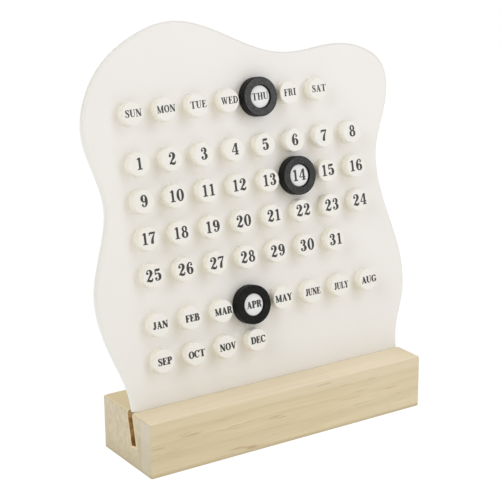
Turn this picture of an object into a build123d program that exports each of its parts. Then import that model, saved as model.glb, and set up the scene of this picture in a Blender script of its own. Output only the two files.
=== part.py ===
from build123d import *
import math
import os

# Perpetual desk calendar. A thin leaning board stands in the slot of a wooden base, and carries one
# round peg for every weekday, date and month. Three loose rings slip over the pegs of the day.
# Millimetres and degrees. The origin is the centre of the base's underside: +X runs along the base,
# -Y is the front that is read, +Z is up.

# ---- base block ----
base_length = 200.0
base_depth = 57.6
base_height = 34.7
base_edge_radius = 1.5
slot_floor = 15.1            # from the underside up to the front edge of the slot's floor
slot_side_gap = 0.1          # between the board and each wall of the slot

# ---- board ----
board_lean = 11.5            # backwards from upright
board_thickness = 5.0
board_front_offset = 7.2     # its front face leaves the base's top this far in front of the middle
board_edge_radius = 2.0
wave_overhang = 13.4         # from the base's end to the widest point of the wave
top_margin = 50.9            # from the weekday pegs to the crest of the wave
foot_inset = 1.6             # from the base's end to the foot of the wave
shoulder_rise = 0.2          # the wave ends this far above the base's top
tongue_inset = 2.6           # the part in the slot is narrower than the foot, at each side

# ---- pegs ----
peg_diameter = 14.2
peg_height = 5.9
peg_edge_radius = 0.8
shank_diameter = 6.0
shank_gap = 0.05             # glue line around the shank in its hole
hole_floor = 2.0             # board left behind each blind hole

# ---- marker rings ----
ring_bore_gap = 0.1          # between a peg and the ring over it
ring_wall = 4.9
ring_thickness = 7.0
ring_edge_radius = 0.8
ring_bore_chamfer = 0.2

# ---- how the pegs are laid out ----
columns = 8
ring_to_peg_gap = 2.8        # between a ring and the next peg
group_gap = 7.5              # added to the pitch between weekdays, dates and months
lowest_row_rise = 27.1       # the lowest row of pegs above the base's top, along the board

weekdays = ["sun", "mon", "tue", "wed", "thu", "fri", "sat"]
dates = [f"day_{number:02d}" for number in range(1, 32)]
months = ["jan", "feb", "mar", "apr", "may", "june", "july", "aug", "sep", "oct", "nov", "dec"]
marked = {"ring_weekday": "thu", "ring_date": "day_14", "ring_month": "apr"}

# The wave of the board's edge from the left foot clockwise to the right foot, as shares of the
# board's half width and of its rise above the base.
wave_shares = [
    (-0.926, 0.129), (-0.998, 0.311), (-0.929, 0.433), (-0.877, 0.542), (-0.917, 0.644),
    (-0.952, 0.738), (-0.913, 0.820), (-0.802, 0.902), (-0.573, 0.976), (-0.362, 1.000),
    (-0.159, 0.978), (0.035, 0.933), (0.256, 0.891), (0.423, 0.884), (0.679, 0.893),
    (0.877, 0.868), (0.974, 0.827), (1.000, 0.778), (0.961, 0.689), (0.877, 0.582),
    (0.868, 0.516), (0.908, 0.400), (0.970, 0.258), (0.955, 0.156),
]

# ---- sizes that follow ----
slot_depth = (base_height - slot_floor) / math.cos(math.radians(board_lean))
peg_radius = peg_diameter / 2
ring_bore_radius = peg_radius + ring_bore_gap
ring_radius = ring_bore_radius + ring_wall
pitch = ring_radius + ring_to_peg_gap + peg_radius
group_step = pitch + group_gap
shank_length = board_thickness - hole_floor

# The board's own frame: X along the base, Y up the board, Z out of its front face. Its zero is
# where the front face leaves the base's top.
board_plane = Plane(
    origin=(0, -board_front_offset, base_height),
    x_dir=(1, 0, 0),
    z_dir=(0, -math.cos(math.radians(board_lean)), math.sin(math.radians(board_lean))),
)


def rows_of(names, lowest):
    """Peg names and places of one group, whose last row lies at the rise called lowest."""
    row_count = math.ceil(len(names) / columns)
    first_column = -pitch * (columns - 1) / 2
    places = {}
    for index, name in enumerate(names):
        row, column = divmod(index, columns)
        places[name] = (first_column + column * pitch, lowest + (row_count - 1 - row) * pitch)
    return places, lowest + (row_count - 1) * pitch + group_step


def peg_layout():
    """Every peg's place on the board, and the rise of the top row."""
    month_places, date_rise = rows_of(months, lowest_row_rise)
    date_places, weekday_rise = rows_of(dates, date_rise)
    weekday_places, above = rows_of(weekdays, weekday_rise)
    return weekday_places | date_places | month_places, above - group_step


peg_places, top_row_rise = peg_layout()
board_half_width = base_length / 2 + wave_overhang
board_rise = top_row_rise + top_margin


def make_base():
    """Solid block with rounded edges and a slot that runs out at both ends."""
    block = Pos(0, 0, base_height / 2) * Box(base_length, base_depth, base_height)
    block = fillet(block.edges(), base_edge_radius)
    slot = Box(
        2 * base_length,
        slot_depth + base_height,
        board_thickness + 2 * slot_side_gap,
        align=(Align.CENTER, Align.MIN, Align.CENTER),
    )
    return block - board_plane * Pos(0, -slot_depth, -board_thickness / 2) * slot


def make_board():
    """Wavy sheet with soft rims, a narrower tongue below and a blind hole for each peg's shank."""
    foot = base_length / 2 - foot_inset
    tongue = foot - tongue_inset
    wave_points = [(-foot, shoulder_rise)]
    wave_points += [(x * board_half_width, y * board_rise) for x, y in wave_shares]
    wave_points += [(foot, shoulder_rise)]
    wave = Spline(*wave_points, tangents=[(0, 1), (0, -1)])
    lower_edge = Polyline(
        (foot, shoulder_rise), (foot, -slot_depth), (-foot, -slot_depth), (-foot, shoulder_rise)
    )
    sheet = extrude(make_face(Curve() + [wave, lower_edge]), -board_thickness)
    back, *_, front = sheet.faces().sort_by(Axis.Z)
    rims = [edge for face in (back, front) for edge in face.edges().sort_by(Axis.Y)[1:]]
    sheet = fillet(rims, min(board_edge_radius, 0.45 * board_thickness))
    notch = Box(
        2 * tongue_inset,
        slot_depth + shoulder_rise,
        2 * board_thickness,
        align=(Align.MIN, Align.MAX, Align.CENTER),
    )
    notch = Pos(tongue, shoulder_rise) * notch
    hole = Cylinder(
        shank_diameter / 2 + shank_gap,
        shank_length + shank_gap,
        align=(Align.CENTER, Align.CENTER, Align.MAX),
    )
    holes = [Pos(x, y) * hole for x, y in peg_places.values()]
    return board_plane * (sheet - notch - mirror(notch, Plane.YZ) - holes)


def make_peg(x, y):
    """Round head with a soft front edge, and a thinner shank that is glued into the board."""
    head = Cylinder(peg_radius, peg_height, align=(Align.CENTER, Align.CENTER, Align.MIN))
    head = fillet(head.edges().sort_by(Axis.Z)[-1], peg_edge_radius)
    shank = Cylinder(shank_diameter / 2, shank_length, align=(Align.CENTER, Align.CENTER, Align.MAX))
    return board_plane * Pos(x, y) * (head + shank)


def make_ring(x, y):
    """Thick ring with rounded rims that sits on the board, around a peg."""
    disc = Cylinder(ring_radius, ring_thickness, align=(Align.CENTER, Align.CENTER, Align.MIN))
    disc = fillet(disc.edges(), ring_edge_radius)
    bore = Cylinder(ring_bore_radius, ring_thickness, align=(Align.CENTER, Align.CENTER, Align.MIN))
    ring = disc - bore
    bore_rims = ring.edges().filter_by(GeomType.CIRCLE).filter_by(
        lambda rim: abs(rim.radius - ring_bore_radius) < ring_bore_chamfer
    )
    return board_plane * Pos(x, y) * chamfer(bore_rims, ring_bore_chamfer)


parts = {"base_block": make_base(), "board": make_board()}
for name, (x, y) in peg_places.items():
    parts[f"peg_{name}"] = make_peg(x, y)
for name, peg in marked.items():
    parts[name] = make_ring(*peg_places[peg])

os.makedirs("parts", exist_ok=True)
for name, solid in parts.items():
    export_step(solid, f"parts/{name}.step")
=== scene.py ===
import math

import bmesh
import bpy
from mathutils import Matrix, Vector


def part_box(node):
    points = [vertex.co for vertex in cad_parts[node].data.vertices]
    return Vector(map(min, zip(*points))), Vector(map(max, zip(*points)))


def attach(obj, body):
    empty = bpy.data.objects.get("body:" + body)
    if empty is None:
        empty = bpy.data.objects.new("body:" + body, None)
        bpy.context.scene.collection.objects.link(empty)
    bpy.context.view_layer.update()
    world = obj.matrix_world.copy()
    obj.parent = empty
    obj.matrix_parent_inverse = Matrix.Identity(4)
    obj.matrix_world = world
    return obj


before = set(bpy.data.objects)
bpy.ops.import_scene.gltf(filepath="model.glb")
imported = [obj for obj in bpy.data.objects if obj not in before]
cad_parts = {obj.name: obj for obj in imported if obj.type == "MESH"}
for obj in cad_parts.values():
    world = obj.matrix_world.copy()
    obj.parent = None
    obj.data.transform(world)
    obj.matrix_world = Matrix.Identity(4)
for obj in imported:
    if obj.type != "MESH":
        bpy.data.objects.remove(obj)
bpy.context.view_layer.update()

MM = 0.001  # metres in a millimetre

# ---- directions ----
# The board's own directions: along the base, up the board, and out of its front face.
LEAN = math.radians(11.5)  # how far the board leans back from upright
ALONG = Vector((1, 0, 0))
UP = Vector((0, math.sin(LEAN), math.cos(LEAN)))
OUT = Vector((0, -math.cos(LEAN), math.sin(LEAN)))
# The base's own: towards the reader, towards the back, and up.
FRONTWARD = (0, -1, 0)
BACKWARD = (0, 1, 0)
SKYWARD = (0, 0, 1)


# ---- places, taken from the solids ----
def reach(node, direction):
    """How far a piece reaches along a direction: its lowest and its highest level."""
    marks = [vertex.co.dot(direction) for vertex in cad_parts[node].data.vertices]
    return min(marks), max(marks)


SLOT_GAP = 0.1 * MM  # between the board and each wall of its slot
base_low, base_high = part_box("base_block")
board_back, board_front = reach("board", OUT)
slot_floor = reach("board", UP)[0]
slot_middle = (board_back + board_front) / 2
slot_half_width = (board_front - board_back) / 2 + SLOT_GAP
peg_face = reach("peg_sun", OUT)[1]


# ---- finishes ----
def new_finish(name, **sockets):
    """An empty finish with its shader, whose plain values are set on the shader's own sockets."""
    finish = bpy.data.materials.new(name)
    finish.use_nodes = True
    tree = finish.node_tree
    shader = tree.nodes["Principled BSDF"]
    for socket, value in sockets.items():
        shader.inputs[socket.replace("_", " ")].default_value = value
    return finish, tree, shader


def put(tree, kind, inputs=None, **settings):
    """Adds a node, sets it, and joins or fills its inputs."""
    made = tree.nodes.new(kind)
    for key, value in settings.items():
        setattr(made, key, value)
    for key, value in (inputs or {}).items():
        if isinstance(value, bpy.types.NodeSocket):
            tree.links.new(value, made.inputs[key])
        else:
            made.inputs[key].default_value = value
    return made


def stretch(tree, coords, scale, move=(0, 0, 0)):
    """Coordinates times the scale, and then moved."""
    inputs = {"Vector": coords, "Scale": scale, "Location": move}
    return put(tree, "ShaderNodeMapping", inputs).outputs["Vector"]


def own(tree, scale=(1, 1, 1), move=(0, 0, 0)):
    """The piece's own coordinates in metres, times the scale, and then moved."""
    return stretch(tree, put(tree, "ShaderNodeTexCoord").outputs["Object"], scale, move)


def noise(tree, coords, scale, detail, roughness=0.5):
    inputs = {"Vector": coords, "Scale": scale, "Detail": detail, "Roughness": roughness}
    return put(tree, "ShaderNodeTexNoise", inputs).outputs["Fac"]


def span(tree, value, low, high, to_low=0.0, to_high=1.0):
    """Maps low..high softly to to_low..to_high and holds it there beyond."""
    inputs = {"Value": value, "From Min": low, "From Max": high, "To Min": to_low, "To Max": to_high}
    return put(tree, "ShaderNodeMapRange", inputs, interpolation_type="SMOOTHSTEP").outputs["Result"]


def maths(tree, how, first, second=0.0):
    return put(tree, "ShaderNodeMath", {0: first, 1: second}, operation=how).outputs[0]


def times(tree, first, second):
    return maths(tree, "MULTIPLY", first, second)


def dot(tree, vector, direction):
    inputs = {0: vector, 1: tuple(direction)}
    return put(tree, "ShaderNodeVectorMath", inputs, operation="DOT_PRODUCT").outputs["Value"]


def facing(tree, direction, low, high, either_way=False):
    """How squarely a face looks along a direction, where low..high is mapped to 0..1."""
    normal = put(tree, "ShaderNodeNewGeometry").outputs["Normal"]
    square = dot(tree, normal, direction)
    if either_way:
        square = maths(tree, "ABSOLUTE", square)
    return span(tree, square, low, high)


def blend(tree, share, first, second):
    """A colour between two others. The node keeps its colours in sockets 6 and 7, and its result in 2."""
    return put(tree, "ShaderNodeMix", {0: share, 6: first, 7: second}, data_type="RGBA").outputs[2]


def tint(tree, colour, tone, mask, strength):
    """Lays a tone over a colour where the mask is 1, with the given strength."""
    return blend(tree, times(tree, mask, strength), colour, tone)


def surface(tree, shader, colour, roughness, height, depth, strength):
    """Joins a finish's colour, its roughness and the relief on it to the shader."""
    tree.links.new(colour, shader.inputs["Base Color"])
    tree.links.new(roughness, shader.inputs["Roughness"])
    relief = put(tree, "ShaderNodeBump", {"Height": height, "Distance": depth, "Strength": strength})
    tree.links.new(relief.outputs["Normal"], shader.inputs["Normal"])


def shade(*screen_levels):
    """Red, green and blue of a screen, each 0..255, as the shader's colour."""
    shares = [level / 255 for level in screen_levels]
    return (*(s / 12.92 if s < 0.04045 else ((s + 0.055) / 1.055) ** 2.4 for s in shares), 1.0)


# ---- pine of the base ----
PALE_WOOD, WARM_WOOD = shade(226, 210, 176), shade(219, 203, 170)
LATE_WOOD = shade(196, 176, 132)
DARK_STREAK, LIGHT_STREAK = shade(203, 184, 140), shade(239, 224, 196)
FIBRE = shade(193, 171, 126)
RESIN = shade(158, 126, 80)
# painted light on the top, and a painted highlight along the top of the front
PAINTED_TOP_LIGHT, PAINTED_RIM_HIGHLIGHT = shade(246, 231, 201), shade(238, 227, 206)
# painted shade at the left end of the front, painted light at its right end
PAINTED_FRONT_SHADE, PAINTED_FRONT_LIGHT = shade(196, 178, 138), shade(232, 219, 190)
SAWN_LIGHT, SAWN_DARK = shade(217, 206, 186), shade(199, 187, 162)
# painted shade low on the ends, and a darker patch low down near the front
SAWN_SHADE_AND_PATCH = shade(182, 168, 140)
STRIP_LOW, STRIP_HIGH = shade(204, 196, 174), shade(214, 206, 191)
SLOT_MOUTH = shade(240, 214, 168)
SLOT_DARK, SLOT_LIGHT = shade(150, 116, 64), shade(204, 172, 120)
# painted shade deep in the slot
SLOT_DEEP_SHADE = shade(128, 96, 52)
# painted shade along the foot of the block
PAINTED_FOOT_SHADE = shade(160, 142, 104)

GRAIN_DRIFT = (0, 6 * MM, 6 * MM)  # how far the grain wanders back and up, at most
HEART = (0, -90 * MM, -50 * MM)  # the growth rings' middle, in front of and below the block
STRIP_DEPTH = 11 * MM  # of the paler strip that runs up the front of each end


def pine_grain(tree, where):
    """Straight grain along the block: its colour, its fibres and its resin dashes."""
    bend = noise(tree, own(tree, (9, 30, 30), (1, 4, 2)), 1.0, 1.0)
    drift = put(tree, "ShaderNodeVectorMath", {0: GRAIN_DRIFT, "Scale": bend}, operation="SCALE").outputs[0]
    bent = put(tree, "ShaderNodeVectorMath", {0: where, 1: drift}, operation="ADD").outputs[0]

    def streaks(lengthwise, across, detail, roughness=0.5, move=(0, 0, 0)):
        """Noise with so many swings a metre along the grain, and across it."""
        return noise(tree, stretch(tree, bent, (lengthwise, across, across), move), 1.0, detail, roughness)

    # the growth rings are the same all along the block
    about_heart = stretch(tree, bent, (0, 1, 1), tuple(-place for place in HEART))
    rings = put(
        tree,
        "ShaderNodeTexWave",
        {"Vector": about_heart, "Scale": 55.0, "Distortion": 0.5, "Detail": 2.0, "Detail Scale": 1.0},
        wave_type="RINGS",
        rings_direction="X",
        wave_profile="SAW",
    ).outputs["Fac"]
    late_wood = span(tree, rings, 0.55, 1.0)
    broad = streaks(4, 90, 2.0, move=(2, 3, 1))
    streak = streaks(9, 230, 3.0, 0.55)
    fibre = streaks(45, 1500, 3.0, 0.65)
    dashes = span(tree, streaks(45, 900, 1.0, move=(3, 1, 7)), 0.62, 0.72)
    dash_zone = span(tree, streaks(12, 110, 1.0, move=(5, 2, 1)), 0.48, 0.62)
    resin = times(tree, dashes, dash_zone)

    colour = blend(tree, span(tree, broad, 0.3, 0.7), PALE_WOOD, WARM_WOOD)
    colour = tint(tree, colour, LATE_WOOD, late_wood, 0.22)
    colour = tint(tree, colour, DARK_STREAK, span(tree, streak, 0.4, 0.75), 0.32)
    colour = tint(tree, colour, LIGHT_STREAK, span(tree, streak, 0.45, 0.22), 0.15)
    colour = tint(tree, colour, FIBRE, span(tree, fibre, 0.35, 0.75), 0.2)
    colour = tint(tree, colour, RESIN, resin, 0.44)
    return colour, fibre, resin


def planed_faces(tree, colour, sideways, depth, height):
    """Painted light on the top, least in the board's shade just in front of it, and a painted highlight along
    the top of the front. The front is painted darker at its left end and lighter at its right, as shade and
    light.
    """
    # painted light on the top face: more at its front edge, its right half and behind the board, least in the
    # board's shade just in front of it
    front_edge = span(tree, depth, base_low.y + 16 * MM, base_low.y + 5 * MM, 0.3, 0.62)
    right_half = span(tree, sideways, 0, 80 * MM, 0.0, 0.3)
    behind_board = span(tree, depth, -5 * MM, -3 * MM, 0.0, 0.7)
    top_light_share = maths(tree, "MAXIMUM", maths(tree, "ADD", front_edge, right_half), behind_board)
    top_face = facing(tree, SKYWARD, 0.5, 0.95)
    colour = tint(tree, colour, PAINTED_TOP_LIGHT, top_face, top_light_share)
    # painted highlight along the top of the front, where its rounded edge catches the light
    rim_highlight = span(tree, height, base_high.z - 8 * MM, base_high.z - 3 * MM)
    colour = tint(tree, colour, PAINTED_RIM_HIGHLIGHT, rim_highlight, 0.2)

    # painted shade towards the front's left end, painted light towards its right end
    front_face = facing(tree, FRONTWARD, 0.5, 0.95)
    left_end = span(tree, sideways, -40 * MM, -90 * MM, 0.0, 0.16)
    colour = tint(tree, colour, PAINTED_FRONT_SHADE, front_face, left_end)
    right_end = span(tree, sideways, 10 * MM, 70 * MM, 0.0, 0.2)
    return tint(tree, colour, PAINTED_FRONT_LIGHT, front_face, right_end)


def sawn_ends(tree, colour, end_face, depth, height):
    """The ends are greyer and mottled, painted darker low down as shade, darker in a patch low down near the
    front, with a paler strip at the front.
    """
    mottle = noise(tree, own(tree, (60, 230, 230)), 1.0, 2.0, 0.6)
    sawn = blend(tree, span(tree, mottle, 0.3, 0.7), SAWN_LIGHT, SAWN_DARK)
    # painted shade: the ends darken towards the bottom; a darker patch lies low down near the front
    shade_low_down = span(tree, height, 15 * MM, 2 * MM)
    in_front = span(tree, depth, base_low.y + STRIP_DEPTH + 6 * MM, base_low.y + STRIP_DEPTH + 3 * MM)
    lower_half = span(tree, height, 26 * MM, 20 * MM)
    low_shade_and_patch = maths(tree, "MAXIMUM", shade_low_down, times(tree, in_front, lower_half))
    sawn = tint(tree, sawn, SAWN_SHADE_AND_PATCH, low_shade_and_patch, 0.65)
    colour = tint(tree, colour, sawn, end_face, 0.75)

    strip = blend(tree, span(tree, height, 4 * MM, 30 * MM), STRIP_LOW, STRIP_HIGH)
    strip_back = base_low.y + STRIP_DEPTH
    in_strip = span(tree, depth, strip_back - 0.1 * MM, strip_back + 0.5 * MM, 0.75, 0.0)
    return tint(tree, colour, strip, end_face, in_strip)


def sawn_slot(tree, colour, end_face, where):
    """The slot is scorched brown and patchy inside and painted darker as shade, darkest low down, and its
    mouth is paler.
    """
    from_middle = maths(tree, "ABSOLUTE", maths(tree, "SUBTRACT", dot(tree, where, OUT), slot_middle))
    above_floor = maths(tree, "SUBTRACT", dot(tree, where, UP), slot_floor)
    beside_slot = span(tree, above_floor, -1.9 * MM, -1.1 * MM)
    near_wall = span(tree, from_middle, slot_half_width + 0.5 * MM, slot_half_width + 1.8 * MM, 0.8, 0.0)
    mouth = times(tree, near_wall, beside_slot)
    colour = tint(tree, colour, SLOT_MOUTH, mouth, end_face)

    between_walls = span(tree, from_middle, slot_half_width + 0.3 * MM, slot_half_width + 0.12 * MM)
    inside = times(tree, between_walls, span(tree, above_floor, -0.4 * MM, -0.1 * MM))
    patches = noise(tree, own(tree, (140, 300, 220)), 1.0, 3.0)
    # the slot's inside: scorched brown wood, painted darker as shade, darkest towards its floor
    scorch_and_shade = blend(tree, span(tree, patches, 0.35, 0.65), SLOT_DARK, SLOT_LIGHT)
    scorch_and_shade = tint(tree, scorch_and_shade, SLOT_DEEP_SHADE, span(tree, above_floor, 16 * MM, 4 * MM), 0.4)
    return blend(tree, inside, colour, scorch_and_shade)


def pine():
    """Pale planed pine: faint straight growth rings, resin dashes, greyer ends, and a darker slot."""
    finish, tree, shader = new_finish("planed_pine", Specular_IOR_Level=0.2)
    where = own(tree)
    sideways, depth, height = (dot(tree, where, way) for way in (ALONG, BACKWARD, SKYWARD))
    end_face = facing(tree, ALONG, 0.6, 0.9, either_way=True)

    colour, fibre, resin = pine_grain(tree, where)
    colour = planed_faces(tree, colour, sideways, depth, height)
    colour = sawn_ends(tree, colour, end_face, depth, height)
    colour = sawn_slot(tree, colour, end_face, where)
    # painted shade along the foot, where the rounded bottom edge faces down
    colour = tint(tree, colour, PAINTED_FOOT_SHADE, span(tree, height, 3.5 * MM, 0.5 * MM), 0.5)

    roughness = span(tree, fibre, 0.2, 0.8, 0.5, 0.66)
    relief = maths(tree, "ADD", times(tree, fibre, 0.6), times(tree, resin, -0.8))
    surface(tree, shader, colour, roughness, relief, depth=0.2 * MM, strength=0.35)
    return finish


# ---- plastics and ink ----
def acrylic():
    """Milky cast sheet, a little cooler where light comes through its rounded rim."""
    finish, tree, shader = new_finish("milky_acrylic", Specular_IOR_Level=0.3, IOR=1.49)
    cloud = noise(tree, own(tree), 14.0, 2.0)
    colour = blend(tree, cloud, shade(239, 235, 229), shade(242, 238, 233))
    rim = facing(tree, OUT, 0.96, 0.5, either_way=True)
    colour = blend(tree, rim, colour, shade(236, 236, 233))
    wipe_marks = noise(tree, own(tree, (60, 900, 200)), 1.0, 3.0)
    roughness = span(tree, wipe_marks, 0.3, 0.7, 0.32, 0.40)
    ripple = noise(tree, own(tree), 260.0, 2.0)
    surface(tree, shader, colour, roughness, ripple, depth=0.03 * MM, strength=0.3)
    return finish


def moulded_peg(name, dark, light):
    """Moulded pegs, faintly uneven, with their sides painted warmer as bounced light."""
    finish, tree, shader = new_finish(name, Specular_IOR_Level=0.35)
    cloud = noise(tree, own(tree), 60.0, 2.0)
    # painted bounced light: the sides are warmer than the face
    side = facing(tree, OUT, 0.9, 0.2)
    colour = blend(tree, side, blend(tree, cloud, dark, light), shade(240, 236, 223))
    roughness = span(tree, noise(tree, own(tree), 900.0, 2.0), 0.3, 0.7, 0.36, 0.46)
    dimples = noise(tree, own(tree), 700.0, 2.0)
    surface(tree, shader, colour, roughness, dimples, depth=0.03 * MM, strength=0.4)
    return finish


def black_ring(name, painted_face_level):
    """Matt black marker ring, speckled where it was moulded, with its face painted grey as a reflection of
    the lamps and its sides painted darker as shade.
    """
    finish, tree, shader = new_finish(name, Specular_IOR_Level=0.12)
    speckle = noise(tree, own(tree), 1150.0, 3.0, 0.7)
    patch = noise(tree, own(tree), 260.0, 2.0)
    # painted reflection: the face's grey level is given one ring at a time
    dark, light = painted_face_level - 20, painted_face_level + 16
    face = blend(tree, span(tree, speckle, 0.3, 0.7), shade(dark, dark, dark), shade(light, light, light - 1))
    face = tint(tree, face, shade(dark, dark, dark + 2), span(tree, patch, 0.3, 0.7), 0.4)
    # painted shade: the sides are darker than the face
    side = blend(tree, speckle, shade(12, 12, 11), shade(28, 28, 26))
    colour = blend(tree, facing(tree, OUT, 0.75, 0.98), side, face)
    roughness = span(tree, speckle, 0.3, 0.7, 0.42, 0.6)
    surface(tree, shader, colour, roughness, speckle, depth=0.06 * MM, strength=0.5)
    return finish


def print_ink():
    """Dark printing ink, a little thin in places."""
    finish, tree, shader = new_finish("print_ink", Specular_IOR_Level=0.2)
    thin = noise(tree, own(tree), 1500.0, 2.0)
    colour = blend(tree, span(tree, thin, 0.35, 0.75), shade(64, 63, 61), shade(86, 84, 82))
    roughness = span(tree, thin, 0.3, 0.7, 0.5, 0.62)
    surface(tree, shader, colour, roughness, thin, depth=0.01 * MM, strength=0.3)
    return finish


pine_finish = pine()
acrylic_finish = acrylic()
ink_finish = print_ink()
# the pegs under the rings get a greyer, less yellow copy of the peg finish, toned to paint the light and
# shade they get in the rings' bores
peg_finish = moulded_peg("cream_peg", shade(239, 235, 227), shade(243, 239, 232))
peg_finish_painted_for_bores = moulded_peg("covered_peg", shade(234, 233, 232), shade(238, 238, 237))
covered_pegs = ("peg_thu", "peg_day_14", "peg_apr")
# each ring's face is painted a different grey, for how much of the lamps it reflects
ring_finishes = {
    "ring_weekday": black_ring("black_ring_bright_reflection", 78),
    "ring_date": black_ring("black_ring_mid_reflection", 66),
    "ring_month": black_ring("black_ring_dark_reflection", 24),
}

for name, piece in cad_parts.items():
    if name == "base_block":
        finish = pine_finish
    elif name == "board":
        finish = acrylic_finish
    elif name.startswith("peg_"):
        finish = peg_finish_painted_for_bores if name in covered_pegs else peg_finish
    else:
        finish = ring_finishes[name]
    for material_slot in piece.material_slots:
        material_slot.material = finish

# ---- lettering ----
# Each sign is drawn with strokes of a broad pen on a cap height of 1. A stroke is a list of
# points (x, y, half width); THICK and THIN are half the pen's two widths.
THICK = 0.102
THIN = 0.04
LOW = THIN  # a thin stroke along the foot of a sign, and one along its top
TOP = 1 - THIN
OVER = 0.99  # round figures stand a little higher
HAIR = 0.03  # half width of the longest serifs
STEM = 0.18  # where the left upright of most capitals stands


def line(x0, y0, x1, y1, width=THIN, end_width=None):
    return [(x0, y0, width), (x1, y1, width if end_width is None else end_width)]


def stem(x, width=THICK, feet=(0.1, 0.1)):
    """An upright, with thin serifs that reach past it at its bottom and top."""
    strokes = [line(x, 0.0, x, 1.0, width)]
    for y, overhang in zip((LOW, TOP), feet):
        if overhang:
            strokes.append(line(x - width - overhang, y, x + width + overhang, y))
    return strokes


def left_stem(foot, head, foot_width=THIN, head_width=THIN):
    """The left upright of a capital, with a foot and a head that run to the right as far as given."""
    return [
        line(STEM, 0.0, STEM, 1.0, THICK),
        line(0.0, LOW, foot, LOW, foot_width),
        line(0.0, TOP, head, TOP, head_width),
    ]


def bowl(cx, cy, rx, ry, start=0, end=360, width=THICK):
    """Part of an oval, thick at its sides and thin at its top and bottom."""
    degrees_a_step = 22.5
    steps = max(4, round(abs(end - start) / degrees_a_step))
    stroke = []
    for step in range(steps + 1):
        turn = math.radians(start + (end - start) * step / steps)
        side = abs(math.cos(turn)) ** 1.6
        stroke.append((cx + rx * math.cos(turn), cy + ry * math.sin(turn), THIN + (width - THIN) * side))
    return stroke


def ball(x, y, size=0.1):
    """The round end of a thin stroke."""
    return [
        (x, y - size, 0.3 * size),
        (x, y - 0.6 * size, 0.8 * size),
        (x, y, size),
        (x, y + 0.6 * size, 0.8 * size),
        (x, y + size, 0.3 * size),
    ]


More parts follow.
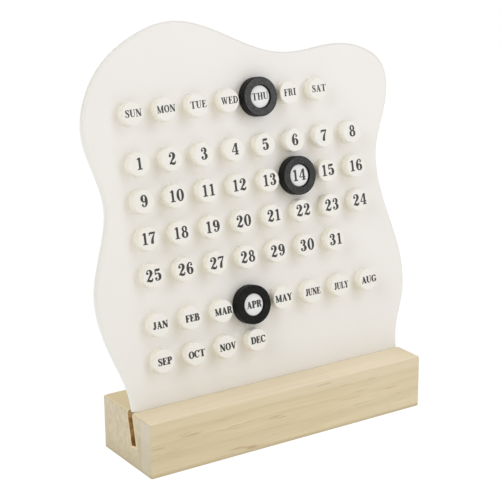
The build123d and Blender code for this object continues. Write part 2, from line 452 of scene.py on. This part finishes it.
# A sign's width, and its strokes.
SIGNS = {
    "0": (0.62, [bowl(0.31, 0.51, 0.21, OVER - 0.51)]),
    "1": (0.50, stem(0.27, width=0.085, feet=(0.12, 0)) + [line(0.07, 0.84, 0.26, 0.95, 0.03, 0.07)]),
    "2": (0.60, [
        ball(0.14, 0.74),
        [(0.09, 0.80, 0.04), (0.16, 0.95, 0.035), (0.29, OVER, THIN), (0.42, 0.91, 0.085),
         (0.465, 0.73, 0.118), (0.41, 0.56, 0.09), (0.26, 0.36, 0.06), (0.10, 0.12, 0.045),
         (0.06, 0.05, 0.05)],
        [(0.05, 0.10, 0.04), (0.18, 0.135, 0.085), (0.30, 0.09, 0.1), (0.44, 0.075, 0.09),
         (0.53, 0.15, 0.045), (0.555, 0.27, THIN)],
    ]),
    "3": (0.60, [
        ball(0.15, 0.78, 0.09),
        [(0.10, 0.83, 0.04), (0.17, 0.96, 0.035), (0.29, OVER, THIN), (0.41, 0.91, 0.08), (0.44, 0.76, 0.106),
         (0.39, 0.61, 0.07), (0.26, 0.54, THIN)],
        [(0.26, 0.54, THIN), (0.41, 0.47, 0.07), (0.475, 0.28, 0.117), (0.42, 0.11, 0.08), (0.27, LOW, THIN),
         (0.14, 0.06, 0.035), (0.08, 0.17, 0.04)],
        ball(0.14, 0.21, 0.095),
    ]),
    "4": (0.62, stem(0.42, width=0.085, feet=(0.1, 0)) + [
        line(0.37, 0.98, 0.03, 0.28), line(0.03, 0.28, 0.60, 0.28, 0.035)]),
    "5": (0.60, [
        [(0.13, 0.92, 0.08), (0.28, 0.905, 0.1), (0.42, 0.92, 0.09), (0.50, 0.99, 0.04)],
        line(0.11, 0.98, 0.095, 0.52),
        [(0.095, 0.52, THIN), (0.18, 0.60, 0.035), (0.29, 0.625, THIN), (0.42, 0.54, 0.08),
         (0.475, 0.33, 0.117), (0.42, 0.12, 0.08), (0.27, LOW, THIN), (0.14, 0.06, 0.035),
         (0.08, 0.17, 0.04)],
        ball(0.14, 0.20, 0.095),
    ]),
    "6": (0.62, [
        ball(0.46, 0.80, 0.085),
        [(0.50, 0.85, 0.035), (0.44, 0.96, 0.035), (0.35, OVER, THIN), (0.21, 0.90, 0.06),
         (0.135, 0.70, 0.09), (0.12, 0.45, THICK), (0.15, 0.20, 0.08), (0.22, 0.07, 0.05), (0.32, LOW, THIN)],
        bowl(0.32, 0.30, 0.175, 0.27, -90, 175),
    ]),
    "7": (0.58, [
        [(0.06, 0.93, 0.045), (0.16, 0.91, 0.08), (0.30, 0.91, 0.085), (0.44, 0.93, 0.06),
         (0.545, 0.97, 0.03)],
        line(0.055, 0.97, 0.04, 0.72),
        [(0.54, 0.95, 0.03), (0.40, 0.68, 0.05), (0.29, 0.42, 0.085), (0.25, 0.20, 0.1), (0.24, 0.0, 0.1)],
    ]),
    "8": (0.62, [bowl(0.30, 0.755, 0.155, 0.215, width=0.078), bowl(0.31, 0.275, 0.195, 0.247, width=0.093)]),
    "9": (0.62, [
        ball(0.16, 0.20, 0.085),
        [(0.12, 0.15, 0.035), (0.18, 0.06, 0.035), (0.27, LOW, THIN), (0.41, 0.12, 0.06), (0.485, 0.30, 0.09),
         (0.50, 0.55, THICK), (0.47, 0.80, 0.08), (0.40, 0.95, 0.05), (0.30, OVER, THIN)],
        bowl(0.30, 0.71, 0.175, OVER - 0.71, 90, 355),
    ]),
    "A": (0.80, [
        line(0.12, 0.0, 0.39, 0.98), line(0.64, 0.0, 0.37, 1.0, THICK, 0.085), line(0.20, 0.32, 0.52, 0.32),
        line(0.02, LOW, 0.24, LOW), line(0.46, LOW, 0.80, LOW)]),
    "B": (0.70, left_stem(0.36, 0.36) + [
        bowl(0.34, 0.76, 0.19, 0.212, 90, -90, 0.09), bowl(0.36, 0.28, 0.235, 0.252, 90, -90),
        line(STEM, 0.535, 0.36, 0.535)]),
    "C": (0.76, [
        bowl(0.40, 0.5, 0.30, TOP - 0.5, 55, 180), bowl(0.40, 0.5, 0.30, 0.5 - LOW, 180, 300),
        [(0.55, 0.09, 0.03), (0.64, 0.17, 0.03), (0.70, 0.30, 0.03)],
        line(0.57, 0.90, 0.665, 0.76, 0.04), line(0.68, 1.0, 0.68, 0.66)]),
    "D": (0.78, left_stem(0.36, 0.36) + [bowl(0.34, 0.5, 0.335, TOP - 0.5, 90, -90)]),
    "E": (0.68, left_stem(0.62, 0.58, HAIR, HAIR) + [
        line(STEM, 0.52, 0.44, 0.52), line(0.44, 0.66, 0.44, 0.38), line(0.58, 0.98, 0.59, 0.70, 0.05, 0.02),
        line(0.62, 0.02, 0.66, 0.32, 0.055, 0.02)]),
    "F": (0.62, left_stem(0.38, 0.56, THIN, HAIR) + [
        line(STEM, 0.50, 0.42, 0.50), line(0.42, 0.64, 0.42, 0.36),
        line(0.57, 0.98, 0.59, 0.70, 0.05, 0.02)]),
    "G": (0.82, [
        bowl(0.40, 0.5, 0.30, TOP - 0.5, 55, 180), bowl(0.40, 0.5, 0.30, 0.5 - LOW, 180, 275),
        [(0.42, LOW, 0.03), (0.55, 0.07, 0.04), (0.63, 0.14, 0.05)],
        line(0.57, 0.90, 0.665, 0.76, 0.04), line(0.68, 1.0, 0.68, 0.66),
        line(0.65, 0.04, 0.65, 0.42, 0.09), line(0.47, 0.42, 0.80, 0.42)]),
    "H": (0.86, stem(STEM, feet=(0.08, 0.08)) + stem(0.68, feet=(0.08, 0.08)) + [
        line(STEM, 0.51, 0.68, 0.51)]),
    "I": (0.38, stem(0.19, feet=(0.09, 0.09))),
    "J": (0.52, [
        [(0.32, 1.0, THICK), (0.32, 0.60, THICK), (0.32, 0.30, THICK), (0.28, 0.10, 0.07), (0.17, LOW, THIN),
         (0.08, 0.06, 0.03), (0.04, 0.14, 0.03)],
        ball(0.10, 0.16, 0.08), line(0.13, TOP, 0.51, TOP)]),
    "L": (0.66, left_stem(0.60, 0.38, HAIR) + [line(0.60, 0.02, 0.64, 0.36, 0.055, 0.02)]),
    "M": (1.00, stem(0.12, width=THIN, feet=(0.1, 0)) + stem(0.82, feet=(0.08, 0)) + [
        line(0.13, 0.98, 0.45, 0.04, THICK, 0.07), line(0.46, 0.02, 0.78, 0.98), line(0.0, TOP, 0.2, TOP),
        line(0.76, TOP, 1.0, TOP)]),
    "N": (0.84, stem(0.13, width=THIN, feet=(0.11, 0)) + stem(0.70, width=THIN, feet=(0, 0.11)) + [
        line(0.14, 0.97, 0.69, 0.03, THICK), line(0.0, TOP, 0.2, TOP)]),
    "O": (0.80, [bowl(0.40, 0.5, 0.295, TOP - 0.5)]),
    "P": (0.68, left_stem(0.38, 0.36) + [
        bowl(0.34, 0.735, 0.225, 0.237, 90, -90), line(STEM, 0.50, 0.36, 0.50)]),
    "R": (0.80, left_stem(0.38, 0.36) + [
        bowl(0.34, 0.745, 0.215, 0.227, 90, -90), line(STEM, 0.52, 0.36, 0.52),
        [(0.38, 0.52, 0.03), (0.50, 0.46, 0.07), (0.56, 0.28, THICK), (0.60, 0.09, 0.085), (0.70, 0.03, 0.03),
         (0.79, 0.08, 0.02)]]),
    "S": (0.62, [
        [(0.50, 0.78, 0.03), (0.42, 0.93, 0.035), (0.29, TOP, THIN), (0.15, 0.90, 0.06), (0.12, 0.76, 0.085),
         (0.20, 0.62, 0.095), (0.33, 0.52, 0.1), (0.46, 0.40, 0.1), (0.51, 0.25, 0.09), (0.45, 0.09, 0.06),
         (0.31, LOW, THIN), (0.17, 0.08, 0.035), (0.08, 0.24, 0.03)],
        line(0.52, 1.0, 0.52, 0.70), line(0.06, 0.0, 0.06, 0.32)]),
    "T": (0.84, stem(0.42, feet=(0.1, 0)) + [
        line(0.03, TOP, 0.81, TOP, HAIR), line(0.03, 0.99, 0.02, 0.72, 0.045, 0.02),
        line(0.81, 0.99, 0.82, 0.72, 0.045, 0.02)]),
    "U": (0.84, [
        [(0.18, 1.0, THICK), (0.18, 0.65, THICK), (0.18, 0.35, THICK), (0.22, 0.14, 0.07), (0.41, LOW, THIN),
         (0.60, 0.10, 0.03), (0.68, 0.34, THIN), (0.68, 0.65, THIN), (0.68, 0.98, THIN)],
        line(0.0, TOP, 0.36, TOP), line(0.55, TOP, 0.81, TOP)]),
    "V": (0.80, [
        line(0.15, 1.0, 0.42, 0.04, THICK, 0.08), line(0.42, 0.02, 0.68, 0.98), line(0.0, TOP, 0.33, TOP),
        line(0.56, TOP, 0.80, TOP)]),
    "W": (1.10, [
        line(0.14, 1.0, 0.36, 0.04, 0.09, 0.075), line(0.36, 0.02, 0.55, 0.90),
        line(0.50, 1.0, 0.74, 0.04, 0.09, 0.075), line(0.74, 0.02, 0.97, 0.98), line(0.0, TOP, 0.30, TOP),
        line(0.38, TOP, 0.64, TOP), line(0.85, TOP, 1.10, TOP)]),
    "Y": (0.80, [
        line(0.14, 1.0, 0.41, 0.45, THICK, 0.09), line(0.42, 0.48, 0.68, 0.98),
        line(0.41, 0.0, 0.41, 0.48, THICK), line(0.23, LOW, 0.59, LOW), line(0.0, TOP, 0.32, TOP),
        line(0.56, TOP, 0.80, TOP)]),
}

# How each group is printed: the cap height, the gap between signs as a share of it, the weight of
# the pen and the breadth of the signs, both as drawn at 1, and how far the word stands to the right
# of and above the middle of its peg.
WEEKDAY_PRINT = {
    "height": 4.3 * MM, "gap": 0.08, "weight": 1.16, "breadth": 1.01, "shift": (0.17 * MM, 0.1 * MM)
}
DATE_PRINT = {
    "height": 7.0 * MM, "gap": 0.12, "weight": 1.14, "breadth": 1.11, "shift": (-0.04 * MM, 0.17 * MM)
}
MONTH_PRINT = {
    "height": 4.3 * MM, "gap": 0.05, "weight": 1.46, "breadth": 1.05, "shift": (0.36 * MM, -0.03 * MM)
}
LONG_MONTH_PRINT = MONTH_PRINT | {"breadth": 0.85}  # four letters
INK_FLATNESS = 0.03  # what is left of the pen's round depth
INK_LIFT = 0.01 * MM  # from the peg's face to the middle of the ink


def write(text, gap):
    """All strokes of a word, centred on its own middle."""
    strokes, pen = [], 0.0
    for sign in text:
        width, drawn = SIGNS[sign]
        strokes += [[(x + pen, y - 0.5, half) for x, y, half in stroke] for stroke in drawn]
        pen += width + gap
    pen -= gap
    return [[(x - pen / 2, y, half) for x, y, half in stroke] for stroke in strokes]


def ink_cords(name, strokes, weight):
    """The strokes as round cords of the pen's width, made a mesh."""
    cords = bpy.data.curves.new(name, "CURVE")
    cords.dimensions = "3D"
    # with a depth of 1, a point's radius is the pen's half width there
    cords.bevel_depth = 1.0
    cords.bevel_resolution = 1
    cords.resolution_u = 5
    cords.use_fill_caps = True
    for stroke in strokes:
        spline = cords.splines.new("BEZIER")
        spline.bezier_points.add(len(stroke) - 1)
        for point, (x, y, half) in zip(spline.bezier_points, stroke):
            point.co = (x, y, 0)
            point.radius = half * weight
            point.handle_left_type = point.handle_right_type = "AUTO" if len(stroke) > 2 else "VECTOR"
    drawn = bpy.data.objects.new(name, cords)
    bpy.context.scene.collection.objects.link(drawn)
    mesh = bpy.data.meshes.new_from_object(drawn.evaluated_get(bpy.context.evaluated_depsgraph_get()))
    bpy.data.objects.remove(drawn)
    return mesh


def printed(label, text, height, gap, weight, breadth, shift):
    """A word in flat ink on the face of the peg with this label."""
    name = f"print_{label}"
    mesh = ink_cords(name, write(text, gap), weight)
    low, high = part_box(f"peg_{label}")
    middle = (low + high) / 2
    rightward, upward = shift
    centre = (
        ALONG * (middle.dot(ALONG) + rightward)
        + UP * (middle.dot(UP) + upward)
        + OUT * (peg_face + INK_LIFT)
    )
    size = Matrix.Diagonal((height * breadth, height, height * INK_FLATNESS, 1.0))
    board_turn = Matrix((ALONG, UP, OUT)).transposed().to_4x4()
    mesh.transform(Matrix.Translation(centre) @ board_turn @ size)
    mesh.materials.append(ink_finish)
    word = bpy.data.objects.new(name, mesh)
    bpy.context.scene.collection.objects.link(word)
    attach(word, "board_with_pegs")


for day in ("sun", "mon", "tue", "wed", "thu", "fri", "sat"):
    printed(day, day.upper(), **WEEKDAY_PRINT)
for number in range(1, 32):
    printed(f"day_{number:02d}", str(number), **DATE_PRINT)
for month in ("jan", "feb", "mar", "apr", "may", "june", "july", "aug", "sep", "oct", "nov", "dec"):
    printed(month, month.upper(), **(LONG_MONTH_PRINT if len(month) > 3 else MONTH_PRINT))

# ---- floor, light and camera, in metres ----
FLOOR_HALF_WIDTH = 6.0
LAMP_WIDTH = 0.7
LAMP_AIM = Vector((0, 0, 0.1))  # a little below the middle of the board
SKY_COLOUR = (1.11, 1, 0.48, 1)
SKY_STRENGTH = 0.3
CAMERA_PLACE = Vector((-0.4926, -0.7422, 0.3861))
CAMERA_GAZE = Vector((0.5205, 0.8027, -0.2911))
CAMERA_ROLL = math.radians(-0.509)

floor_mesh = bpy.data.meshes.new("floor")
floor = bpy.data.objects.new("floor", floor_mesh)
sheet = bmesh.new()
bmesh.ops.create_grid(sheet, x_segments=1, y_segments=1, size=FLOOR_HALF_WIDTH)
sheet.to_mesh(floor_mesh)
sheet.free()
bpy.context.scene.collection.objects.link(floor)
floor_finish = new_finish(
    "white_floor",
    Base_Color=(0.06, 0.06, 0.06, 1),
    Roughness=0.9,
    Emission_Color=(1, 1, 1, 1),
    Emission_Strength=0.97,
)[0]
floor_mesh.materials.append(floor_finish)


def softbox(name, place, power, colour):
    """A square lamp that faces the calendar."""
    lamp = bpy.data.lights.new(name, "AREA")
    lamp.shape = "SQUARE"
    lamp.size = LAMP_WIDTH
    lamp.energy = power
    lamp.color = colour
    holder = bpy.data.objects.new(name, lamp)
    holder.location = place
    holder.rotation_euler = (LAMP_AIM - Vector(place)).to_track_quat("-Z", "Y").to_euler()
    bpy.context.scene.collection.objects.link(holder)


# each lamp's name, place, power in watts, and colour
softbox("low_front_light", (0.997, -1.424, 0.566), 4.5, (0.97, 1, 1.22))
softbox("right_light", (1.194, -1.002, 1.0), 2.0, (0.85, 1, 1.6))
softbox("key_light", (0.818, -0.818, 1.479), 5.1, (0.9, 1, 1.16))
softbox("top_light", (0.374, 0, 1.861), 2.7, (1, 1, 1.5))
softbox("back_light", (-0.35, 1.1, 1.48), 4.2, (1, 1, 1))
softbox("left_light", (-1.506, -0.404, 1.0), 6.6, (0.88, 1, 1.27))
softbox("high_left_light", (-1.118, -0.3, 1.479), 4.6, (1.05, 1, 1.06))

world = bpy.data.worlds.new("studio")
world.use_nodes = True
world.node_tree.nodes["Background"].inputs["Color"].default_value = SKY_COLOUR
world.node_tree.nodes["Background"].inputs["Strength"].default_value = SKY_STRENGTH
bpy.context.scene.world = world
bpy.context.scene.view_settings.view_transform = "Standard"

lens = bpy.data.cameras.new("camera")
lens.sensor_width = 36.0
lens.lens = 109.74
lens.shift_y = 0.0038
lens.clip_start = 0.05
camera = bpy.data.objects.new("camera", lens)
aim = CAMERA_GAZE.normalized().to_track_quat("-Z", "Y").to_matrix().to_4x4()
camera.matrix_world = Matrix.Translation(CAMERA_PLACE) @ aim @ Matrix.Rotation(CAMERA_ROLL, 4, "Z")
bpy.context.scene.collection.objects.link(camera)
bpy.context.scene.camera = camera
